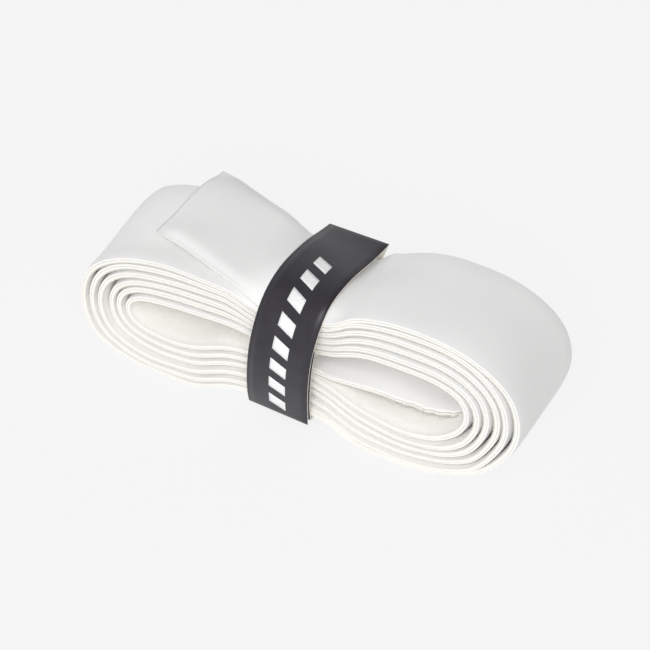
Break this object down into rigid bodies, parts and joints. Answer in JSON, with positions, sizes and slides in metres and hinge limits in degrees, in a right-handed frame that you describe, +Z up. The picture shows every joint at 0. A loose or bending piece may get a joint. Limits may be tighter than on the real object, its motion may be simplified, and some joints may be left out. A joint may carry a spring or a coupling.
{
  "type": "grip tape roll",
  "caption": "Flat-wound padded racket grip tape, pinched at the waist by a printed paper band, with a loose outer end on top and a tapered inner end in one lobe.",
  "frame": {"origin": "under the middle of the bounding box, on the surface the roll lies on", "axes": "+X along the roll, towards the taller lobe that holds the inner end; +Y across the tape's width, towards the side the outer end leans to; +Z up"},
  "size_m": [0.1032, 0.036, 0.0385],
  "materials": {
    "skin": "white polyurethane coating with a fine matt grain",
    "felt": "ivory needled felt",
    "adhesive": "thin tacky adhesive",
    "release_paper": "smooth coated paper",
    "finishing_tape": "glossy vinyl",
    "band_paper": "charcoal print with a satin varnish and pale cut edges",
    "glue": "dried clear glue"
  },
  "bodies": {
    "roll": {"tape_skin": "skin", "tape_backing": "felt", "finishing_tape": "finishing_tape", "finishing_tape_paper": "release_paper"},
    "tail": {"tail_skin": "skin", "tail_backing": "felt"},
    "start_end": {"start_skin": "skin", "start_backing": "felt", "start_adhesive": "adhesive", "start_release_paper": "release_paper"},
    "band": {"belly_band": "band_paper", "band_glue": "glue"}
  },
  "joints": [
    {"name": "tail_lift", "type": "hinge", "parent": "roll", "child": "tail", "pos_m": [-0.0121, -0.00195, 0.0331], "axis": [0, 1, 0], "range_deg": [0, 70]},
    {"name": "start_end_lift", "type": "hinge", "parent": "roll", "child": "start_end", "pos_m": [0.00915, -0.00195, 0.0184], "axis": [0, -1, 0], "range_deg": [0, 8]},
    {"name": "band_slide", "type": "slide", "parent": "roll", "child": "band", "axis": [1, 0, 0], "range_m": [-0.0015, 0]}
  ]
}
